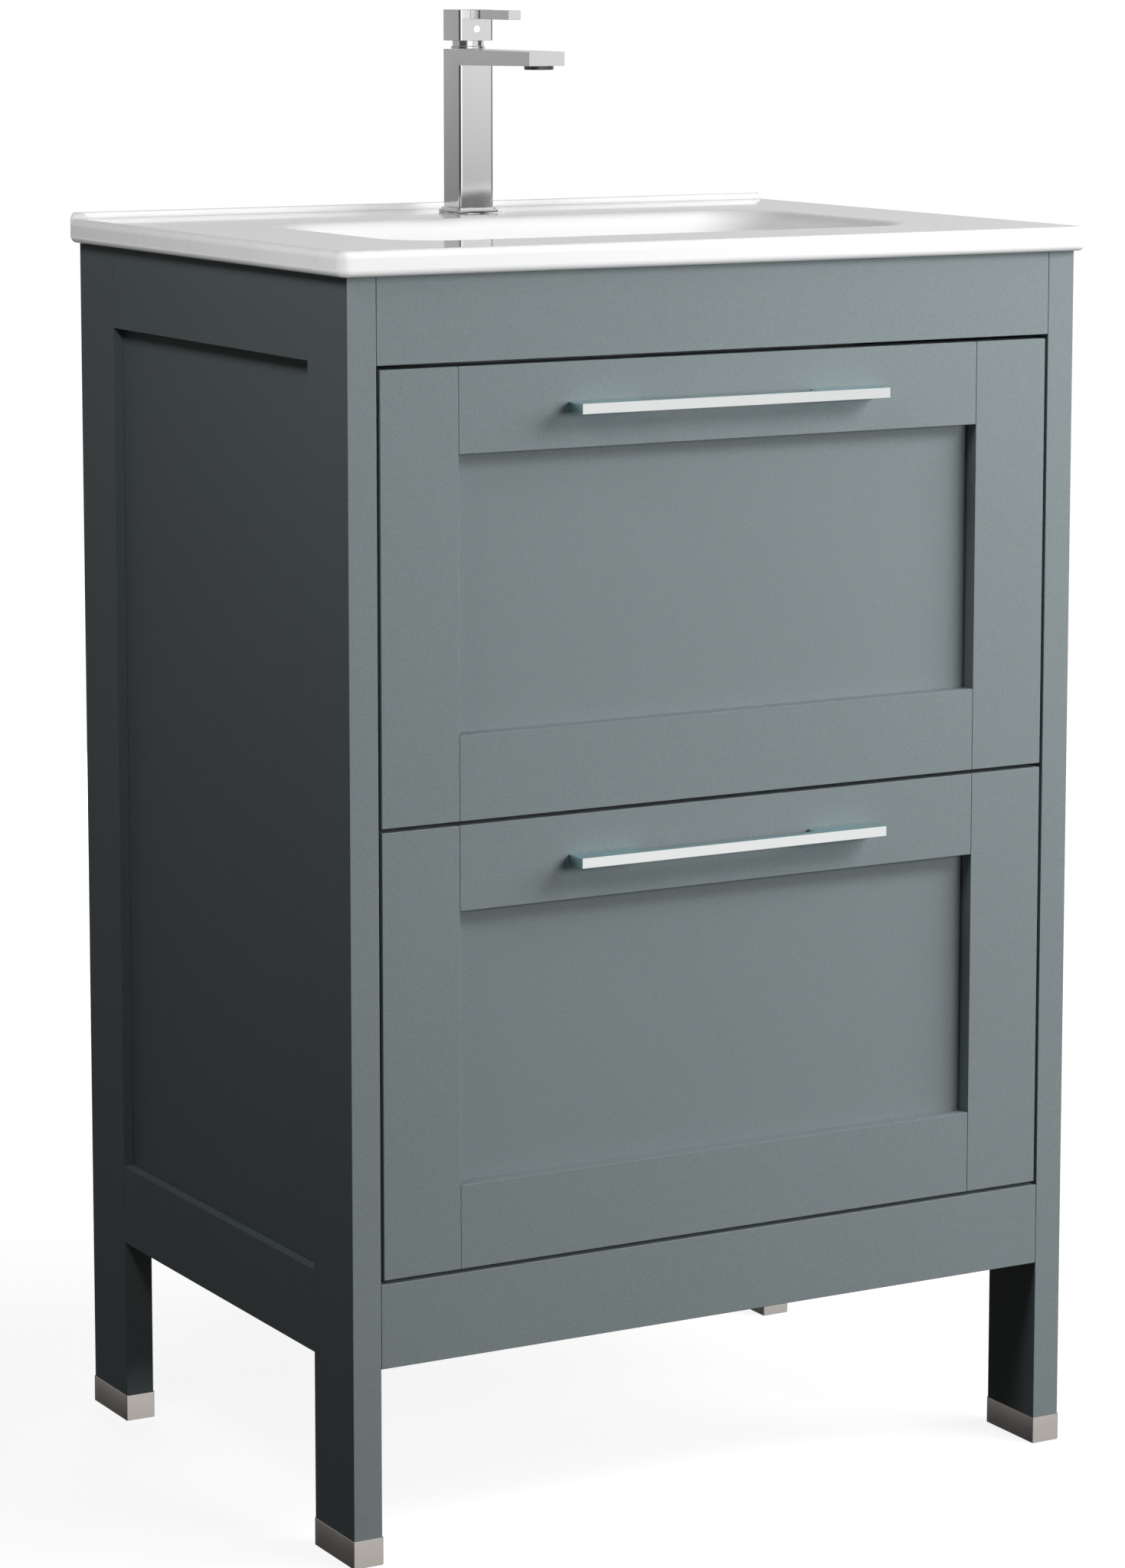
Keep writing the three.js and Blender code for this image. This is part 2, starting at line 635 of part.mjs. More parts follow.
function addTapBody() {
  const foot = tapFlange.height + glueLine;
  const column = raised(tapSection, foot, spoutTop);
  const shank = cylinder(shankRadius, -tapShank.length, foot + tapCorner);
  const side = polygon([
    [-spoutReach, spoutTop], [-spoutReach, spoutTop - spoutTip],
    [-tapDepth / 2, spoutTop - spoutRoot], [0, spoutTop - spoutRoot], [0, spoutTop],
  ]);
  const spout = new THREE.ExtrudeGeometry(side, { depth: tapWidth, bevelEnabled: false })
    .rotateX(Math.PI / 2).rotateZ(Math.PI / 2)
    .translate(-tapWidth / 2, 0, 0);
  const seat = cylinder(aerator.diameter / 2 + aerator.play, spoutTop - 2 * spoutTip,
    aeratorFoot + aerator.height + glueLine).translate(0, aerator.fromTip - spoutReach, 0);
  add(tap, "faucet_body", combine(column, [shank, spout], [seat]), chrome());
}

// The spout's underside slopes, so the aerator's showing part is measured at its own place.
const undersideSlope = (spoutRoot - spoutTip) / (spoutReach - tapDepth / 2);
const aeratorFoot = spoutTop - spoutTip - aerator.fromTip * undersideSlope - aerator.showing;

function addAerator() {
  const [outer, bore] = [aerator.diameter / 2, aerator.bore / 2];
  const webHeight = aeratorFoot + aerator.height / 2; // the stream former closes the bore above this
  const ring = turned([
    [0, webHeight], [bore, webHeight], [bore, aeratorFoot], [outer, aeratorFoot],
    [outer, aeratorFoot + aerator.height], [0, aeratorFoot + aerator.height],
  ]);
  add(tap, "faucet_aerator", ring.translate(0, aerator.fromTip - spoutReach, 0), nickel());
}

function addNeck() {
  const foot = spoutTop + glueLine;
  add(tap, "faucet_neck", turned([
    [0, foot],
    [neckRadius + collar.reach, foot],
    [neckRadius + collar.reach, foot + collar.height],
    [neckRadius, foot + collar.height],
    [neckRadius, handleFoot + neckIntoHandle],
    [0, handleFoot + neckIntoHandle],
  ]), chrome());
}

function addHandle() {
  const top = handleFoot + handleHeight;
  const block = raised(tapSection, handleFoot, top);
  const bar = boxBetween([-lever.width / 2, lever.width / 2], [-lever.reach, 0], [top - lever.height, top]);
  const cavity = cylinder(neckRadius + handleCavity.play, handleFoot - 1,
    handleFoot + handleCavity.height);
  add(tap, "faucet_handle", combine(block, [bar], [cavity]), chrome());
}

addTapFlange();
addTapBody();
addAerator();
addNeck();
addHandle();

export default vanity;
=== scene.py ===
# Looks for a bathroom vanity: a painted frame-and-panel cabinet with two shaker drawers, a glazed
# basin top, a chrome mixer tap, satin pulls and nickel foot caps. Metres, +Z up, front faces -Y.
import json
import math

import bmesh
import bpy
import numpy as np
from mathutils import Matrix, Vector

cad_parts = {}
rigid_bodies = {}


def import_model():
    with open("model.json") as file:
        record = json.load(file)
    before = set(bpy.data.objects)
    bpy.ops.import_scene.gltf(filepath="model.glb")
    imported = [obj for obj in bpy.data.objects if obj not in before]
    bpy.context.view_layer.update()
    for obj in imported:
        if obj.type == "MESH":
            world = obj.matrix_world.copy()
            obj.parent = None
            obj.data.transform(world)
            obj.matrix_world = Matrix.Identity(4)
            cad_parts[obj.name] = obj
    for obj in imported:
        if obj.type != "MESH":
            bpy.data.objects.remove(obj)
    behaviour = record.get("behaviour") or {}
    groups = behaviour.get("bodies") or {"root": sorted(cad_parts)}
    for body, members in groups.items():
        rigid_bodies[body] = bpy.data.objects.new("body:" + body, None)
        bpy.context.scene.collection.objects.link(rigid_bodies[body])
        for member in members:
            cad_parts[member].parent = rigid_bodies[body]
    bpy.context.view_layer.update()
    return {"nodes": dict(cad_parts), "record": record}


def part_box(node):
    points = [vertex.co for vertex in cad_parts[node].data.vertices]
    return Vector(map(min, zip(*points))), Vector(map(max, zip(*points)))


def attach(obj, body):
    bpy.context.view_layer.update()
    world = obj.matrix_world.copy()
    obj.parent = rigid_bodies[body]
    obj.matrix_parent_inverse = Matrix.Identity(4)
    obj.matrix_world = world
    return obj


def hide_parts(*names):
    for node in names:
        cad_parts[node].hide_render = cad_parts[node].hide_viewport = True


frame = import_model()
nodes = frame["nodes"]
bodyOf = {n: b for b, members in frame["record"]["behaviour"]["bodies"].items() for n in members}
slotOf = {part["node"]: part["material_slot"] for part in frame["record"]["subparts"]}
mm = 0.001
print("frame loaded:", len(nodes), "nodes")


# camera, at the height of the tap and a little to the left of the front corner
viewpoint = {"place": (-1.7129, -3.0276, 1.1122), "turn": 29.35, "down": 7.737, "lens": 108.01,
             "rise": -0.1221}


def addCamera():
    data = bpy.data.cameras.new("viewer")
    data.lens = viewpoint["lens"]
    data.sensor_width = 36
    data.shift_y = viewpoint["rise"]
    data.clip_end = 100
    camera = bpy.data.objects.new("viewer", data)
    camera.location = viewpoint["place"]
    turn, down = math.radians(viewpoint["turn"]), math.radians(viewpoint["down"])
    camera.rotation_euler = (math.pi / 2 - down, 0, -turn)
    bpy.context.scene.collection.objects.link(camera)
    bpy.context.scene.camera = camera


addCamera()
bpy.context.scene.view_settings.view_transform = "Standard"
print("camera placed")


# One output socket in a node tree. + - * / and abs of it add Math nodes.
class Signal:
    def __init__(self, tree, socket):
        self.tree, self.socket = tree, socket

    def math(self, operation, *others, clamp=False):
        values = dict(enumerate((self, *others)))
        return self.tree.add("ShaderNodeMath", {"operation": operation, "use_clamp": clamp}, values)

    def __add__(self, other):
        return self.math("ADD", other)

    def __sub__(self, other):
        return self.math("SUBTRACT", other)

    def __rsub__(self, other):
        return (self * -1).math("ADD", other)

    def __mul__(self, other):
        return self.math("MULTIPLY", other)

    def __truediv__(self, other):
        return self.math("DIVIDE", other)

    def __abs__(self):
        return self.math("ABSOLUTE")

    __radd__ = __add__
    __rmul__ = __mul__

    # 0 below low, 1 above high, a straight ramp between
    def between(self, low, high):
        return ((self - low) / (high - low)).math("MULTIPLY", 1.0, clamp=True)


# A node tree, with one way to add any node: its type, its settings, then its sockets.
class Tree:
    def __init__(self, nodeTree):
        self.nodeTree = nodeTree
        nodeTree.nodes.clear()

    def add(self, kind, settings, sockets, output=0):
        node = self.nodeTree.nodes.new(kind)
        for name, value in settings.items():
            setattr(node, name, value)
        for name, value in sockets.items():
            if isinstance(value, Signal):
                self.nodeTree.links.new(value.socket, node.inputs[name])
            else:
                node.inputs[name].default_value = value
        return None if output is None else Signal(self, node.outputs[output])

    def place(self):
        return self.add("ShaderNodeTexCoord", {}, {}, "Object")

    def facing(self):
        return self.add("ShaderNodeTexCoord", {}, {}, "Normal")

    # the three parts of a vector as signals
    def parts(self, vector):
        split = self.add("ShaderNodeSeparateXYZ", {}, {0: vector})
        return [Signal(self, socket) for socket in split.socket.node.outputs]

    def stretched(self, vector, scale):
        return self.add("ShaderNodeVectorMath", {"operation": "MULTIPLY"}, {0: vector, 1: scale})

    # a cloudy value from 0 to 1 whose lumps are about 1 / scale across
    def noise(self, vector, scale, detail=2.0, roughness=0.5, distortion=0.0):
        sockets = {"Vector": vector, "Scale": scale, "Detail": detail, "Roughness": roughness,
                   "Distortion": distortion}
        return self.add("ShaderNodeTexNoise", {}, sockets, "Fac")

    # a colour made lighter or darker by a signal
    def tinted(self, colour, shade):
        sockets = {"Scale": shade, 0: colour}
        return self.add("ShaderNodeVectorMath", {"operation": "SCALE"}, sockets)

    def blended(self, amount, first, second):
        node = self.nodeTree.nodes.new("ShaderNodeMix")
        node.data_type = "RGBA"
        colours = node.inputs[6], node.inputs[7]
        for socket, value in zip((node.inputs["Factor"], *colours), (amount, first, second)):
            if isinstance(value, Signal):
                self.nodeTree.links.new(value.socket, socket)
            else:
                socket.default_value = value if isinstance(value, float) else (*value[:3], 1.0)
        return Signal(self, node.outputs[2])

    def bumped(self, height, distance, strength=1.0):
        sockets = {"Height": height, "Distance": distance, "Strength": strength}
        return self.add("ShaderNodeBump", {}, sockets, "Normal")

    def shine(self, sockets):
        surface = self.add("ShaderNodeBsdfPrincipled", {}, sockets)
        self.add("ShaderNodeOutputMaterial", {}, {"Surface": surface}, None)


def newMaterial(name, build):
    material = bpy.data.materials.new(name)
    material.use_nodes = True
    tree = Tree(material.node_tree)
    build(tree)
    return material


# satin paint, sprayed: a fine speckle, a faint cloud in the colour and a little orange peel
paint = {"colour": (0.217, 0.255, 0.262), "roughness": 0.5, "uneven": 0.12, "specular": 0.05,
         "speckle": 0.5, "speckleSize": 950, "cloud": 0.08, "cloudSize": 4,
         "peelSize": 650, "peelDepth": 0.06 * mm, "peelStrength": 0.35}


def paintBuild(tree):
    place = tree.place()
    speckle = tree.noise(place, paint["speckleSize"], 2.0, 0.6) - 0.5
    cloud = tree.noise(place, paint["cloudSize"], 3.0) - 0.5
    peel = tree.noise(place, paint["peelSize"], 2.0)
    shade = 1 + paint["speckle"] * speckle + paint["cloud"] * cloud
    tree.shine({
        "Base Color": tree.tinted(paint["colour"], shade),
        "Roughness": paint["roughness"] + paint["uneven"] * (peel - 0.5),
        "Specular IOR Level": paint["specular"],
        "Normal": tree.bumped(peel, paint["peelDepth"], paint["peelStrength"]),
    })


# glazed ceramic: white, with a few soft grey veins that run across the deck, and a glossy glaze
glaze = {"colour": (0.82, 0.82, 0.818), "vein": (0.66, 0.67, 0.69), "roughness": 0.07, "uneven": 0.03,
         "coat": 0.5, "coatRoughness": 0.03, "veinSize": 2.6, "veinShare": 0.42, "veinHalf": 0.035,
         "lean": (1.0, 2.1, 0.6), "hazeMiddle": 0.47, "hazeHalf": 0.12, "driftSize": 1.7,
         "patches": (0.42, 0.62), "rippleSize": 22, "rippleDepth": 0.05 * mm, "rippleStrength": 0.12}


def glazeBuild(tree):
    place = tree.place()
    drift = tree.noise(place, glaze["driftSize"], 4.0, 0.55)
    leaning = tree.stretched(place, glaze["lean"])
    field = tree.noise(leaning, glaze["veinSize"], 5.0, 0.52, 1.4)
    vein = 1 - abs(field - 0.5).between(0.0, glaze["veinHalf"])
    hazy = 1 - abs(field - glaze["hazeMiddle"]).between(0.0, glaze["hazeHalf"])
    patchy = drift.between(*glaze["patches"])
    amount = (0.65 * vein + 0.35 * hazy) * patchy * glaze["veinShare"]
    ripple = tree.noise(place, glaze["rippleSize"], 2.0)
    tree.shine({
        "Base Color": tree.blended(amount, glaze["colour"], glaze["vein"]),
        "Roughness": glaze["roughness"] + glaze["uneven"] * drift,
        "Coat Weight": glaze["coat"],
        "Coat Roughness": glaze["coatRoughness"],
        "Normal": tree.bumped(ripple, glaze["rippleDepth"], glaze["rippleStrength"]),
    })


# polished chrome over brass: nearly a mirror, with a trace of haze from wiping
chrome = {"colour": (0.73, 0.725, 0.73), "roughness": 0.07, "hazeSize": 60, "haze": 0.05,
          "wiping": (900, 900, 60), "wiped": 0.03}


def chromeBuild(tree):
    place = tree.place()
    haze = tree.noise(place, chrome["hazeSize"], 4.0, 0.6)
    wiped = tree.noise(tree.stretched(place, chrome["wiping"]), 1.0, 2.0)
    spread = chrome["haze"] * (haze - 0.5) + chrome["wiped"] * (wiped - 0.5)
    tree.shine({
        "Base Color": tree.tinted(chrome["colour"], 0.97 + 0.06 * haze),
        "Metallic": 1.0,
        "Roughness": chrome["roughness"] + spread,
    })


# satin chrome of the pulls: fine brushing along the bar, and a painted blue-green reflection of the drawer
# paint on its tops and ends
satin = {"face": (0.84, 0.85, 0.85), "edge": (0.72, 0.95, 0.98), "roughness": 0.3, "uneven": 0.1,
         "brushing": (30, 2600, 2600), "turn": (0.5, 0.9), "depth": 0.004 * mm, "strength": 0.1}


def satinBuild(tree):
    place = tree.place()
    brushed = tree.noise(tree.stretched(place, satin["brushing"]), 1.0, 3.0)
    # faces not turned to the front take the edge colour, a painted reflection of the blue-grey drawer front
    forward = abs(tree.parts(tree.facing())[1]).between(*satin["turn"])
    paintedReflectionTint = tree.blended(forward, satin["edge"], satin["face"])
    tree.shine({
        "Base Color": tree.tinted(paintedReflectionTint, 0.96 + 0.08 * brushed),
        "Metallic": 1.0,
        "Roughness": satin["roughness"] + satin["uneven"] * (brushed - 0.5),
        "Normal": tree.bumped(brushed, satin["depth"], satin["strength"]),
    })


# brushed nickel: warm grey, brushed round the leg
nickel = {"colour": (0.54, 0.505, 0.47), "roughness": 0.34, "uneven": 0.12, "brushing": (40, 40, 3200),
          "wearSize": 90, "worn": 0.06, "depth": 0.02 * mm, "strength": 0.4}


def nickelBuild(tree):
    place = tree.place()
    brushed = tree.noise(tree.stretched(place, nickel["brushing"]), 1.0, 3.0)
    worn = tree.noise(place, nickel["wearSize"], 3.0)
    spread = nickel["uneven"] * (brushed - 0.5) + nickel["worn"] * (worn - 0.5)
    tree.shine({
        "Base Color": tree.tinted(nickel["colour"], 0.93 + 0.14 * brushed),
        "Metallic": 1.0,
        "Roughness": nickel["roughness"] + spread,
        "Normal": tree.bumped(brushed, nickel["depth"], nickel["strength"]),
    })


# zinc-plated steel of the slides: bluish, with a faint spangle
zinc = {"colour": (0.56, 0.58, 0.60), "roughness": 0.36, "uneven": 0.08, "spangleSize": 220,
        "drawing": (2000, 25, 2000)}


def zincBuild(tree):
    place = tree.place()
    spangle = tree.add("ShaderNodeTexVoronoi", {}, {"Vector": place, "Scale": zinc["spangleSize"]}, "Color")
    patch = tree.parts(spangle)[0]
    drawn = tree.noise(tree.stretched(place, zinc["drawing"]), 1.0, 2.0)
    tree.shine({
        "Base Color": tree.tinted(zinc["colour"], 0.94 + 0.08 * patch + 0.05 * drawn),
        "Metallic": 1.0,
        "Roughness": zinc["roughness"] + zinc["uneven"] * (patch - 0.5),
    })


# birch plywood: grain on the two faces, thin plies light and dark on the edges
birch = {"light": (0.62, 0.47, 0.30), "dark": (0.47, 0.33, 0.19), "ply": 1.4 * mm, "roughness": 0.5,
         "uneven": 0.15, "fibre": (700.0, 14.0), "figure": (16.0, 1.3), "depth": 0.08 * mm, "strength": 0.4}


def birchBuild(thin, grain):
    def drawnOut(scales):  # the first scale across the grain, the second along it
        return [scales[axis == grain] for axis in range(3)]

    def build(tree):
        place = tree.place()
        fibre = tree.noise(tree.stretched(place, drawnOut(birch["fibre"])), 1.0, 3.0)
        figure = tree.noise(tree.stretched(place, drawnOut(birch["figure"])), 1.0, 4.0, 0.55, 1.5)
        depth = tree.parts(place)[thin]
        layer = (depth * (math.pi / birch["ply"])).math("SINE").between(-0.25, 0.25)
        onEdge = 1 - abs(tree.parts(tree.facing())[thin]).between(0.4, 0.6)
        faces = 0.7 * figure.between(0.3, 0.7) + 0.3 * fibre
        amount = faces * (1 - onEdge) + (0.25 + 0.6 * layer + 0.15 * fibre) * onEdge
        tree.shine({
            "Base Color": tree.blended(amount, birch["light"], birch["dark"]),
            "Roughness": birch["roughness"] + birch["uneven"] * (fibre - 0.5),
            "Normal": tree.bumped(fibre, birch["depth"], birch["strength"]),
        })
    return build


# white enamel of the temperature dot
white = {"colour": (0.86, 0.87, 0.88), "roughness": 0.25, "uneven": 0.05, "grainSize": 900, "hazeSize": 400}


def enamelBuild(tree):
    place = tree.place()
    grain = tree.noise(place, white["grainSize"])
    tree.shine({
        "Base Color": tree.tinted(white["colour"], 0.97 + 0.06 * grain),
        "Roughness": white["roughness"] + white["uneven"] * tree.noise(place, white["hazeSize"]),
    })


# the aerator's rim: chrome that stands in shadow, given a near-black colour as painted shade
rim = {"colour": (0.09, 0.09, 0.095), "roughness": 0.32, "uneven": 0.1, "metal": 0.6, "scaleSize": 700}


def shadedRimBuild(tree):
    place = tree.place()
    scale = tree.noise(place, rim["scaleSize"], 2.0)
    # the near-black colour is painted shade, not the rim's own finish
    tree.shine({
        "Base Color": tree.tinted(rim["colour"], 0.8 + 0.4 * scale),
        "Metallic": rim["metal"],
        "Roughness": rim["roughness"] + rim["uneven"] * (scale - 0.5),
    })


materials = {
    "cabinet_paint": newMaterial("satinPaint", paintBuild),
    "white_glaze": newMaterial("glazedCeramic", glazeBuild),
    "chrome": newMaterial("polishedChrome", chromeBuild),
    "satin_chrome": newMaterial("satinChrome", satinBuild),
    "brushed_nickel": newMaterial("brushedNickel", nickelBuild),
    "zinc_steel": newMaterial("zincPlate", zincBuild),
}
plywood = {
    "side": newMaterial("birchSide", birchBuild(0, 1)),
    "back": newMaterial("birchBack", birchBuild(1, 0)),
    "bottom": newMaterial("birchBottom", birchBuild(2, 0)),
}
enamel = newMaterial("whiteEnamel", enamelBuild)
aeratorPaintedShade = newMaterial("aeratorPaintedShade", shadedRimBuild)


def materialFor(node):
    if slotOf[node] != "birch_plywood":
        return materials[slotOf[node]]
    return plywood["side" if "side" in node else "back" if "back" in node else "bottom"]


print("materials made:", len(bpy.data.materials))


# A new piece from its vertices and faces. It is turned right side out if its volume comes out negative.
def newPiece(name, points, faces, material, body, replaced=()):
    mesh = bpy.data.meshes.new(name)
    mesh.from_pydata(points, [], faces)
    sums = bmesh.new()
    sums.from_mesh(mesh)
    if sums.calc_volume(signed=True) < 0:
        bmesh.ops.reverse_faces(sums, faces=sums.faces)
        sums.to_mesh(mesh)
    sums.free()
    mesh.polygons.foreach_set("use_smooth", np.full(len(mesh.polygons), True))
    mesh.materials.append(material)
    mesh.update()
    piece = bpy.data.objects.new(name, mesh)
    bpy.context.scene.collection.objects.link(piece)
    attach(piece, body)
    if replaced:
        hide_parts(*replaced)
    return piece


# Quads between rings that all have the same number of points: corner j of ring i meets corner j of
# ring i + 1. A skin is closed by the first and last rings as faces, or by joining the last to the first.
def ringFaces(ringCount, pointCount, looped=False):
    i = np.arange(ringCount if looped else ringCount - 1)[:, None]
    j = np.arange(pointCount)[None, :]
    nextI, nextJ = (i + 1) % ringCount, (j + 1) % pointCount
    quads = np.stack([i * pointCount + j, i * pointCount + nextJ,
                      nextI * pointCount + nextJ, nextI * pointCount + j], -1)
    faces = quads.reshape(-1, 4).tolist()
    if not looped:
        last = (ringCount - 1) * pointCount
        faces += [list(range(pointCount))[::-1], list(range(last, last + pointCount))]
    return faces


def ringPiece(name, rings, material, body, replaced=(), looped=False):
    rings = np.asarray(rings, float)
    faces = ringFaces(len(rings), rings.shape[1], looped)
    return newPiece(name, rings.reshape(-1, 3), faces, material, body, replaced)


# A rounded rectangle of half sizes a and b about a middle, as points in its own plane. Along a straight
# side the points crowd towards the corners as a sine does; a corner is a quarter of a circle.
def roundedOutline(a, b, radius, middle=(0.0, 0.0), sideSteps=8, cornerSteps=6):
    run = np.sin(np.linspace(-1, 1, sideSteps + 1)[1:-1] * math.pi / 2)
    arc = np.linspace(0, math.pi / 2, cornerSteps + 1)
    corners = ((1, -1, -math.pi / 2), (1, 1, 0.0), (-1, 1, math.pi / 2), (-1, -1, math.pi))
    points = []
    for sideX, sideY, start in corners:
        x = sideX * (a - radius) + radius * np.cos(start + arc)
        y = sideY * (b - radius) + radius * np.sin(start + arc)
        points.append(np.stack([x, y], -1))
        along = np.array([-np.sin(start + arc[-1]), np.cos(start + arc[-1])])
        half = (a if abs(along[0]) > 0.5 else b) - radius
        middleOfSide = points[-1][-1] + along * half
        points.append(middleOfSide + along * (half * run)[:, None])
    return np.concatenate(points) + middle


def lifted(outline, z):
    return np.column_stack([outline, np.full(len(outline), z)])


# A turned piece: each [radius, height] of its profile is a circle about the vertical through (x, y).
def turnedRings(profile, x, y, steps=64):
    angle = np.linspace(0, 2 * math.pi, steps, endpoint=False)
    radius, height = np.array(profile, float).T
    return np.stack([x + radius[:, None] * np.cos(angle), y + radius[:, None] * np.sin(angle),
                     height[:, None] + 0 * angle], -1)


# A profile's corner at (r, z) eased by a small arc: points from the way in to the way out.
def easedProfile(points, ease, steps=4):
    points = np.array(points, float)
    made = [points[0]]
    for before, here, after in zip(points, points[1:], points[2:]):
        inward, outward = before - here, after - here
        reach = min(ease, np.hypot(*inward) / 2.2, np.hypot(*outward) / 2.2)
        start = here + inward / max(np.hypot(*inward), 1e-9) * reach
        end = here + outward / max(np.hypot(*outward), 1e-9) * reach
        t = np.linspace(0, 1, steps + 1)[:, None]
        made.extend((1 - t) ** 2 * start + 2 * t * (1 - t) * here + t ** 2 * end)
    made.append(points[-1])
    return np.array(made)


# what counts as one point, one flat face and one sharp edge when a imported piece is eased
easing = {"samePoint": 0.01 * mm, "flat": math.radians(0.5), "sharp": math.radians(35)}


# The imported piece's own shape, merged into flat faces, with each sharp edge eased by a narrow bevel.
def easedPiece(node, ease, segments=2):
    source = nodes[node].data
    points = np.empty(len(source.vertices) * 3)
    source.vertices.foreach_get("co", points)
    corners = np.empty(len(source.loops), int)
    source.loops.foreach_get("vertex_index", corners)
    grid = np.round(points.reshape(-1, 3) / easing["samePoint"]).astype(int)
    _, first, where = np.unique(grid, axis=0, return_index=True, return_inverse=True)
    triangles = where.reshape(-1)[corners].reshape(-1, 3).tolist()
    piece = newPiece(node + "_eased", points.reshape(-1, 3)[first], triangles, materialFor(node),
                     bodyOf[node], [node])
    work = bmesh.new()
    work.from_mesh(piece.data)
    bmesh.ops.dissolve_limit(work, angle_limit=easing["flat"], verts=work.verts, edges=work.edges)
    work.to_mesh(piece.data)
    work.free()
    bevel = piece.modifiers.new("eased edges", "BEVEL")
    bevel.width, bevel.segments = ease, segments
    bevel.limit_method, bevel.angle_limit = "ANGLE", easing["sharp"]
    bevel.use_clamp_overlap, bevel.harden_normals = True, True
    return piece


# Every painted board has its own eased edges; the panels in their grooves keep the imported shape.
boards = {"ease": 0.45 * mm, "words": ("post", "rail", "stile", "box_side", "box_back")}

for node in sorted(nodes):
    if any(word in node for word in boards["words"]):
        easedPiece(node, boards["ease"])
    else:
        cad = nodes[node]
        cad.data.materials.clear()
        cad.data.materials.append(materialFor(node))
print("boards eased")


# The basin top: rings from the drain hole out over the floor, up the wall, across the deck and the
# raised back lip, round the edge, and back under to the hole.
basin = {"lipHeight": 4.5 * mm, "lipDepth": 13 * mm, "innerCorner": 2.5 * mm,
         "thickness": 18 * mm, "edge": 5 * mm, "corner": 8 * mm, "sideMargin": 87 * mm,
         "frontMargin": 74 * mm, "backMargin": 135 * mm, "bowlCorner": 50 * mm, "depth": 118 * mm,
         "wall": 9 * mm, "rim": 12 * mm, "fillet": 35 * mm, "slope": math.radians(72),
         "floorSlope": math.radians(3), "land": 37 * mm, "hole": 22.5 * mm,
         "tapFromBack": 68 * mm, "tapHole": 17.5 * mm, "lipFoot": 0.6 * mm, "lipLean": 1.4,
         "holeEase": 1.5 * mm, "tuck": 0.4 * mm}
topLow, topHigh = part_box("sink_top")
deck = topHigh.z - basin["lipHeight"]
halfTop = np.array([topHigh.x - topLow.x, topHigh.y - topLow.y]) / 2
topMiddle = np.array([(topHigh.x + topLow.x) / 2, (topHigh.y + topLow.y) / 2])
halfBowl = np.array([halfTop[0] - basin["sideMargin"],
                     halfTop[1] - (basin["frontMargin"] + basin["backMargin"]) / 2])
bowlMiddle = np.array([0.0, topLow.y + basin["frontMargin"] + halfBowl[1]])


# The bowl's section as (inset, depth, slope): a roll off the deck with slope rising to the wall's, a
# straight wall, and a fillet whose slope falls to the floor's.
def bowlSection(rollSteps=12, filletSteps=14):
    roll = np.linspace(0, basin["slope"], rollSteps + 1)
    rollInset, rollDepth = basin["rim"] * np.sin(roll), basin["rim"] * (1 - np.cos(roll))
    drop = basin["fillet"] * (math.cos(basin["floorSlope"]) - math.cos(basin["slope"]))
    floorRun = halfBowl[1] - basin["land"] - rollInset[-1]
    wallDrop = basin["depth"] - rollDepth[-1] - drop - floorRun * math.sin(basin["floorSlope"]) / 2
    wallRun = wallDrop / math.tan(basin["slope"])
    bend = np.linspace(basin["slope"], basin["floorSlope"], filletSteps + 1)
    bendInset = rollInset[-1] + wallRun + basin["fillet"] * (math.sin(basin["slope"]) - np.sin(bend))
    bendDepth = rollDepth[-1] + wallDrop + basin["fillet"] * (np.cos(bend) - math.cos(basin["slope"]))
    inset = np.concatenate([rollInset, bendInset])
    depth = np.concatenate([rollDepth, bendDepth])
    return np.stack([inset, depth, np.concatenate([roll, bend])], -1)


ringShape = {"sideSteps": 56, "cornerSteps": 14}


# A ring of the bowl, moved out square to its wall by some thickness.
def bowlRing(inset, depth, slope, thickness=0.0):
    out = inset - thickness * math.sin(slope)
    radius = basin["bowlCorner"] - 0.15 * out
    outline = roundedOutline(halfBowl[0] - out, halfBowl[1] - out, radius, bowlMiddle, **ringShape)
    return lifted(outline, deck - depth - thickness * math.cos(slope))


def landRing(radius, z):
    return lifted(roundedOutline(radius, radius, radius * 0.9999, bowlMiddle, **ringShape), z)


# A ring of the slab at some inset and height over the deck. Along the back, where backness is 1, it takes
# the lip's inset and height instead. Backness falls smoothly to 0 round each back corner.
def slabRing(plainInset, plainZ, lipInset, lipZ):
    radius = max(basin["corner"] - plainInset, basin["innerCorner"])

    def ring(inset, z):
        outline = roundedOutline(halfTop[0] - inset, halfTop[1] - inset, radius, topMiddle, **ringShape)
        return lifted(outline, deck + z)
    plain, lip = ring(plainInset, plainZ), ring(lipInset, lipZ)
    arcFoot = topMiddle[1] + halfTop[1] - plainInset - radius
    along = np.clip((plain[:, 1] - arcFoot) / radius, 0, 1)
    backness = along * along * (3 - 2 * along)
    return plain * (1 - backness[:, None]) + lip * backness[:, None]


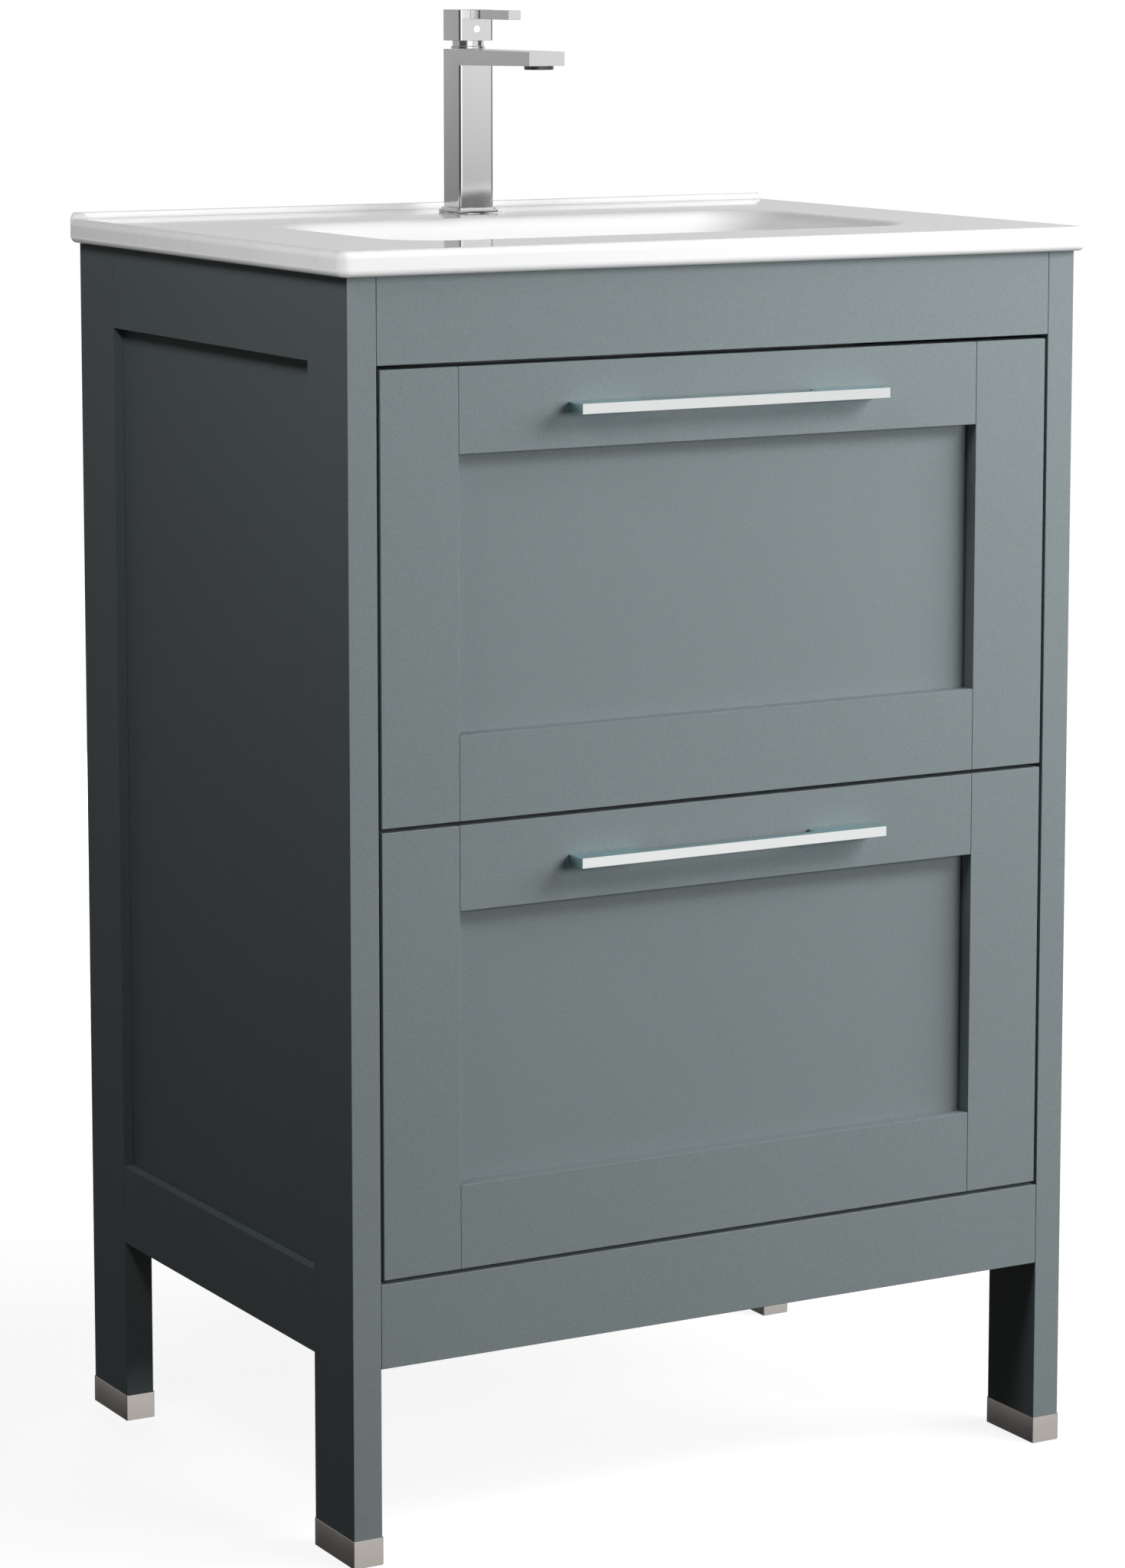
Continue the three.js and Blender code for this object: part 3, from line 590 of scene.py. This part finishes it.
def slabStations():
    edge, lipUp, lipDeep = basin["edge"], basin["lipHeight"], basin["lipDepth"]
    turn = np.linspace(0, math.pi / 2, 7)
    crown = lipUp / 2
    foot, tuck = basin["lipFoot"], basin["tuck"]
    stations = [(24 * mm, 0, 24 * mm, 0), (18 * mm, 0, 18 * mm, 0), (15 * mm, 0, lipDeep + 2 * foot, 0)]
    for k, t in enumerate(turn):  # up the front of the lip, while the plain deck runs level
        rise = lipUp * (1 - math.cos(t))
        lipFront = lipDeep + foot - basin["lipLean"] * crown * math.sin(t)
        stations.append((14 * mm - k * mm, 0, lipFront, rise))
    stations.append((6 * mm, 0, 6 * mm, lipUp))
    for t in turn:  # the deck's rounded edge, and the crown of the lip at the back
        plain = (edge * (1 - math.sin(t)), -edge * (1 - math.cos(t)))
        lip = (crown * (1 - math.sin(t)), lipUp - crown * (1 - math.cos(t)))
        stations.append((*plain, *lip))
    stations.append((0, -edge - tuck, 0, -edge - tuck))
    low = basin["thickness"]
    stations.append((0, edge + tuck - low, 0, edge + tuck - low))
    for t in turn:
        under = (edge * (1 - math.cos(t)), edge * (1 - math.sin(t)) - low)
        stations.append((*under, *under))
    stations.append((8 * mm, -low, 8 * mm, -low))
    return stations


def mixedRings(first, last, shares):
    return [first * (1 - s) + last * s for s in shares]


def addBasinTop():
    section = bowlSection()
    floorZ = deck - basin["depth"]
    inside = [bowlRing(*step) for step in section[::-1]]
    land = landRing(basin["land"], floorZ)
    hole, ease = basin["hole"], basin["holeEase"]
    rings = [landRing(hole, floorZ - ease), landRing(hole + 0.5 * mm, floorZ - 0.4 * mm),
             landRing(hole + ease, floorZ), land]
    rings += mixedRings(land, inside[0], (0.06, 0.2, 0.4, 0.6, 0.8, 0.94))
    rings += inside
    outer = [slabRing(*station) for station in slabStations()]
    rings += mixedRings(inside[-1], outer[0], (0.02, 0.06, 0.25, 0.5, 0.75, 0.94))
    rings += outer
    steep, wall = basin["slope"], basin["wall"]
    rollInset, rollDepth = basin["rim"] * math.sin(steep), basin["rim"] * (1 - math.cos(steep))
    fall = basin["thickness"] - rollDepth - wall * math.cos(steep)  # along the wall to the underside
    root = bowlRing(rollInset + fall / math.tan(steep), rollDepth + fall, steep, wall)
    under = [bowlRing(*step, wall) for step in section if step[1] > rollDepth + fall]
    rings += mixedRings(outer[-1], root, (0.5, 0.9, 0.99))
    rings.append(root)
    rings += under
    belowLand = landRing(basin["land"] + wall, floorZ - wall)
    rings += mixedRings(under[-1], belowLand, (0.3, 0.7))
    rings += [belowLand, landRing(hole + 1 * mm, floorZ - wall), landRing(hole, floorZ - wall + 1 * mm)]
    top = ringPiece("basin_top", rings, materials["white_glaze"], "cabinet",
                    ["sink_top"], looped=True)
    bore = turnedRings([(basin["tapHole"], deck - 2 * basin["thickness"]),
                        (basin["tapHole"], deck + basin["thickness"])],
                       0.0, topHigh.y - basin["tapFromBack"])
    cutter = bpy.data.meshes.new("tapHole")
    cutter.from_pydata(bore.reshape(-1, 3), [], ringFaces(2, bore.shape[1]))
    punch = bpy.data.objects.new("tapHole", cutter)
    bpy.context.scene.collection.objects.link(punch)
    drill = top.modifiers.new("tap hole", "BOOLEAN")
    drill.operation, drill.solver, drill.object = "DIFFERENCE", "EXACT", punch
    applyModifiers(top)
    bpy.data.objects.remove(punch)


def applyModifiers(piece):
    graph = bpy.context.evaluated_depsgraph_get()
    made = bpy.data.meshes.new_from_object(piece.evaluated_get(graph), depsgraph=graph)
    piece.modifiers.clear()
    piece.data = made


addBasinTop()
print("basin top made")


# Foot caps: pressed cups, drawn as a rounded ring that runs up the outside, over the rim and down inside
caps = {"wall": 0.5 * mm, "floor": 2 * mm, "corner": 1.2 * mm, "ease": 0.6 * mm, "rim": 0.2 * mm,
        "floorInset": 4 * mm, "insideEase": 0.3 * mm, "leastCorner": 0.5 * mm}


def addFootCap(node):
    low, high = (np.array(corner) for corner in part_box(node))
    half, middle = (high - low)[:2] / 2, (high + low)[:2] / 2
    turn = np.linspace(0, math.pi / 2, 4)
    foot, top, wall, lip, inside = low[2], high[2], caps["wall"], caps["rim"], low[2] + caps["floor"]
    profile = [(caps["floorInset"], foot)]
    profile += [(caps["ease"] * (1 - math.sin(t)), foot + caps["ease"] * (1 - math.cos(t))) for t in turn]
    profile += [(0, top - lip * 2), (0, top - lip), (lip / 2, top), (wall - lip / 2, top), (wall, top - lip),
                (wall, inside + caps["insideEase"]), (wall + caps["insideEase"], inside),
                (caps["floorInset"], inside)]

    def outline(inset):
        corner = max(caps["corner"] - inset, caps["leastCorner"])
        return roundedOutline(half[0] - inset, half[1] - inset, corner, middle, 4, 5)
    rings = [lifted(outline(inset), z) for inset, z in profile]
    ringPiece(node + "_cup", rings, materials["brushed_nickel"], bodyOf[node], [node])


for node in sorted(nodes):
    if node.startswith("foot_cap"):
        addFootCap(node)
print("foot caps made")


# Pulls: a flat bar on two feet, its edges eased
pull = {"ease": 0.5 * mm, "segments": 3}

for node in ("upper_pull", "lower_pull"):
    easedPiece(node, pull["ease"], pull["segments"])
print("pulls made")


# The tap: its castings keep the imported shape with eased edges, and its round parts are turned
tap = {"ease": 0.8 * mm, "stepInset": 1.7 * mm, "stepHeight": 2.1 * mm, "stepEase": 0.5 * mm,
       "plateInset": 6 * mm, "plateCorner": 5 * mm, "plateHole": 15 * mm, "neck": 12 * mm, "collar": 13 * mm,
       "collarHeight": 2 * mm, "neckEase": 0.35 * mm, "aeratorBore": 8 * mm, "aeratorWeb": 4.25 * mm,
       "aeratorEase": 0.3 * mm, "boreEase": 0.8 * mm, "boreFlare": 1 * mm}
axisGap = 0.1 * mm  # radius of the tiny flat that closes a turned piece on its axis
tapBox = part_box("faucet_neck")
tapX, tapY = (tapBox[0].x + tapBox[1].x) / 2, (tapBox[0].y + tapBox[1].y) / 2

for node in ("faucet_body", "faucet_handle"):
    easedPiece(node, tap["ease"], 3)


# Two low steps, each a rounded rectangle with its upper edge eased
def addTapFlange():
    low, high = (np.array(corner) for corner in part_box("faucet_flange"))
    half, middle = (high - low)[:2] / 2, (high + low)[:2] / 2
    stepZ = low[2] + tap["stepHeight"]
    step, flat, hole = tap["stepInset"], tap["plateInset"], tap["plateHole"]
    profile = easedProfile([(0, low[2] + 0.2 * mm), (0, stepZ), (step, stepZ), (step, high[2]),
                            (flat, high[2])], tap["stepEase"])
    profile = np.concatenate([[(flat, low[2]), (0.4 * mm, low[2])], profile])

    def outline(inset):
        corner = tap["plateCorner"] - inset * 0.7
        return roundedOutline(half[0] - inset, half[1] - inset, corner, middle, 6, 8)
    rings = [lifted(outline(inset), z) for inset, z in profile]
    inner = [lifted(roundedOutline(hole, hole, hole * 0.999, middle, 6, 8), z) for z in (high[2], low[2])]
    ringPiece("faucet_flange_plate", rings + inner, materials["chrome"], bodyOf["faucet_flange"],
              ["faucet_flange"], looped=True)


turnSteps = 96


def addTurned(node, name, profile, x, y, ease, material):
    rings = turnedRings(easedProfile(profile, ease), x, y, turnSteps)
    ringPiece(name, rings, material, bodyOf[node], [node])


def addTapRounds():
    low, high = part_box("faucet_neck")
    neck, collar, shoulder = tap["neck"], tap["collar"], low.z + tap["collarHeight"]
    addTurned("faucet_neck", "faucet_neck_turned",
              [(axisGap, low.z), (collar, low.z), (collar, shoulder), (neck, shoulder), (neck, high.z),
               (axisGap, high.z)], tapX, tapY, tap["neckEase"], materials["chrome"])
    low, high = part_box("faucet_aerator")
    outer, bore, web = (high.x - low.x) / 2, tap["aeratorBore"], low.z + tap["aeratorWeb"]
    x, y = (high.x + low.x) / 2, (high.y + low.y) / 2
    addTurned("faucet_aerator", "faucet_aerator_ring",
              [(axisGap, web), (bore, web), (bore, low.z + tap["boreEase"]),
               (bore + tap["boreFlare"], low.z), (outer, low.z), (outer, high.z), (axisGap, high.z)],
              x, y, tap["aeratorEase"], aeratorPaintedShade)


# a plain enamel dot in the face of the handle, domed a little: circles of falling radius, each further out
dot = {"radius": 2.8 * mm, "steps": 32, "handleFront": 14 * mm, "lift": 8.8 * mm,
       "section": ((1.0, -0.3 * mm), (1.0, 0.05 * mm), (0.93, 0.12 * mm), (0.86, 0.12 * mm))}


def addTemperatureDot():
    face, z = tapY - dot["handleFront"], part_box("faucet_handle")[0].z + dot["lift"]
    angle = np.linspace(0, 2 * math.pi, dot["steps"], endpoint=False)
    across, up = dot["radius"] * np.cos(angle), dot["radius"] * np.sin(angle)
    rings = [np.column_stack([tapX + share * across, 0 * angle + face - proud, z + share * up])
             for share, proud in dot["section"]]
    ringPiece("temperature_dot", rings, enamel, bodyOf["faucet_handle"])


addTapFlange()
addTapRounds()
addTemperatureDot()
print("tap made")


# Drain and stopper, turned. The stopper's cap is a quarter of an ellipse over a short straight rim.
drain = {"bore": 17 * mm, "tube": 20 * mm, "nut": 31 * mm, "nutDrop": 11.5 * mm, "nutHeight": 12 * mm,
         "flange": 2 * mm, "ease": 0.5 * mm, "lead": 1 * mm}
stopper = {"height": 7 * mm, "stem": 4 * mm, "ease": 0.6 * mm, "rim": 0.35, "domeSteps": 14}


def addDrain():
    low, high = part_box("drain_body")
    x, y = (high.x + low.x) / 2, (high.y + low.y) / 2
    bore, tube, nut, flange = drain["bore"], drain["tube"], drain["nut"], (high.x - low.x) / 2
    nutTop, flangeFoot = high.z - drain["nutDrop"], high.z - drain["flange"]
    nutFoot = nutTop - drain["nutHeight"]
    loop = easedProfile([(bore, low.z + drain["lead"]), (tube, low.z), (tube, nutFoot), (nut, nutFoot),
                         (nut, nutTop), (tube, nutTop), (tube, flangeFoot), (flange, flangeFoot),
                         (flange - drain["flange"], high.z), (bore, high.z),
                         (bore, high.z - drain["lead"])], drain["ease"])
    ringPiece("drain_tube", turnedRings(loop, x, y, turnSteps), materials["chrome"], bodyOf["drain_body"],
              ["drain_body"], looped=True)
    low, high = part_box("drain_stopper")
    radius, height, stem, ease = (high.x - low.x) / 2, stopper["height"], stopper["stem"], stopper["ease"]
    foot = high.z - height
    rise = np.linspace(0, 1, stopper["domeSteps"])[:-1]
    dome = np.stack([radius * np.sqrt(1 - rise ** 2),
                     foot + height * (stopper["rim"] + (1 - stopper["rim"]) * rise)], -1)
    profile = [(axisGap, low.z), (stem, low.z), (stem, foot), (radius - ease, foot), (radius, foot + ease)]
    profile += dome.tolist() + [(axisGap, high.z)]
    ringPiece("drain_stopper_cap", turnedRings(profile, x, y, turnSteps), materials["chrome"],
              bodyOf["drain_stopper"], ["drain_stopper"])


addDrain()
print("drain made")


# floor: a wide pale disc that takes a faint shadow
floor = {"radius": 40.0, "sides": 64, "below": 0.5 * mm, "colour": (0.3, 0.3, 0.3), "near": 0.86, "far": 1.0,
         "start": 0.5, "reach": 2.2}


def floorBuild(tree):
    place = tree.place()
    fine = tree.noise(place, 3, 2.0)
    away = tree.add("ShaderNodeVectorMath", {"operation": "LENGTH"}, {0: place}, "Value")
    glow = floor["near"] + (floor["far"] - floor["near"]) * away.between(floor["start"], floor["reach"])
    tree.shine({
        "Base Color": tree.tinted(floor["colour"], 0.99 + 0.02 * fine),
        "Roughness": 0.9,
        "Specular IOR Level": 0.0,
        "Emission Color": tree.tinted((1.0, 1.0, 1.0), glow),
        "Emission Strength": 1.0,
    })


def addFloor():
    angle = np.linspace(0, 2 * math.pi, floor["sides"], endpoint=False)
    points = np.column_stack([np.cos(angle), np.sin(angle), 0 * angle]) * floor["radius"]
    points[:, 2] = -floor["below"]
    mesh = bpy.data.meshes.new("floor")
    mesh.from_pydata(points, [], [list(range(floor["sides"]))])
    mesh.materials.append(newMaterial("paleFloor", floorBuild))
    disc = bpy.data.objects.new("floor", mesh)
    bpy.context.scene.collection.objects.link(disc)
    disc.visible_diffuse = disc.visible_glossy = False


addFloor()


# lights: place, target, size and power; "for" keeps a light to some finishes
lights = {
    "key": {"place": (2.4, -1.2, 1.6), "target": (0, 0, 0.7), "size": (1.2, 1.2), "power": 41},
    "near": {"place": (1.0, -1.1, 1.5), "target": (0.25, -0.2, 0.8), "size": (0.5, 0.5), "power": 13},
    "front": {"place": (0.9, -2.5, 1.0), "target": (0, 0, 0.3), "size": (1.2, 0.6), "power": 32},
    "fill": {"place": (-1.0, -0.5, 1.7), "target": (0, 0, 0.9), "size": (0.4, 0.4), "power": 4.6},
    "top": {"place": (0.2, 1.6, 2.6), "target": (0, 0, 0.7), "size": (1.4, 1.0), "power": 3},
    "rim": {"place": (-2.0, -0.9, 1.2), "target": (0, 0, 0.9), "size": (0.8, 0.8), "power": 20,
            "for": ("white_glaze", "chrome")},
    "back": {"place": (0.9, 3.0, 0.5), "target": (0, 0, 0.5), "size": (1.5, 0.8), "power": 45},
}


def addLight(name, light):
    data = bpy.data.lights.new(name, "AREA")
    data.shape, data.energy = "RECTANGLE", light["power"]
    data.size, data.size_y = light["size"]
    lamp = bpy.data.objects.new(name, data)
    lamp.location = light["place"]
    aim = np.array(light["target"]) - np.array(light["place"])
    lamp.rotation_euler = (math.acos(-aim[2] / np.linalg.norm(aim)), 0, math.atan2(-aim[0], aim[1]))
    lamp.visible_camera = False
    lamp.visible_glossy = False
    bpy.context.scene.collection.objects.link(lamp)
    if "for" in light:
        lit = bpy.data.collections.new(name + " lights")
        wanted = [materials[finish] for finish in light["for"]]
        for piece in bpy.context.scene.objects:
            if piece.type == "MESH" and any(m in wanted for m in piece.data.materials):
                lit.objects.link(piece)
        lamp.light_linking.receiver_collection = lit


for name, light in lights.items():
    addLight(name, light)

# surroundings: white to the viewer and nearly dark to the paint. In reflections they are a studio that
# is bright to the front right and dim to the back left, more so the lower one looks, with a lit strip in
# front, a dark flag on the left and on the right, a darker band at the foot of the wall and a lighter one
# under it
room = {"seen": 1.0, "lighting": 0.02, "bright": (0.75, -0.66, 0.0), "middle": 0.70, "swing": 0.25,
        "lowMiddle": 0.29, "lowSwing": 0.20, "low": (-0.35, -0.17),
        "bandHeight": -0.068, "bandHalf": 0.045, "bandDepth": 0.55,
        "glowHeight": -0.18, "glowHalf": 0.09, "glow": 0.45,
        "flags": (((-0.906, -0.423, 0.0), (0.80, 0.92)), ((0.94, -0.34, 0.0), (0.9, 0.97))),
        "flagDepth": 0.85, "strip": (-0.259, -0.966, 0.0), "stripEdge": (0.92, 0.97), "stripGlow": 0.7}


def addRoom():
    world = bpy.data.worlds.new("room")
    bpy.context.scene.world = world
    world.use_nodes = True
    tree = Tree(world.node_tree)
    direction = tree.add("ShaderNodeTexCoord", {}, {}, "Generated")

    def towards(aim):
        sockets = {0: direction, 1: aim}
        return tree.add("ShaderNodeVectorMath", {"operation": "DOT_PRODUCT"}, sockets, "Value")
    height = tree.parts(direction)[2]
    bright = towards(room["bright"])
    low = 1 - height.between(*room["low"])
    dimming = low * (room["lowMiddle"] - room["lowSwing"] * bright)
    mirrored = room["middle"] + room["swing"] * bright - dimming
    band = (1 - abs(height - room["bandHeight"]) / room["bandHalf"]).between(0.0, 1.0)
    glowing = (1 - abs(height - room["glowHeight"]) / room["glowHalf"]).between(0.0, 1.0)
    mirrored = mirrored * (1 - room["bandDepth"] * band) * (1 + room["glow"] * glowing)
    mirrored = mirrored + room["stripGlow"] * towards(room["strip"]).between(*room["stripEdge"])
    for flag, edge in room["flags"]:
        mirrored = mirrored * (1 - room["flagDepth"] * towards(flag).between(*edge))
    seen = tree.add("ShaderNodeLightPath", {}, {}, "Is Camera Ray")
    glossy = Signal(tree, seen.socket.node.outputs["Is Glossy Ray"])
    strength = seen * room["seen"] + (1 - seen) * (glossy * mirrored + (1 - glossy) * room["lighting"])
    glow = tree.add("ShaderNodeBackground", {}, {"Color": (1.0, 1.0, 1.0, 1.0), "Strength": strength})
    tree.add("ShaderNodeOutputWorld", {}, {"Surface": glow}, None)


addRoom()
print("floor, lights and room set")
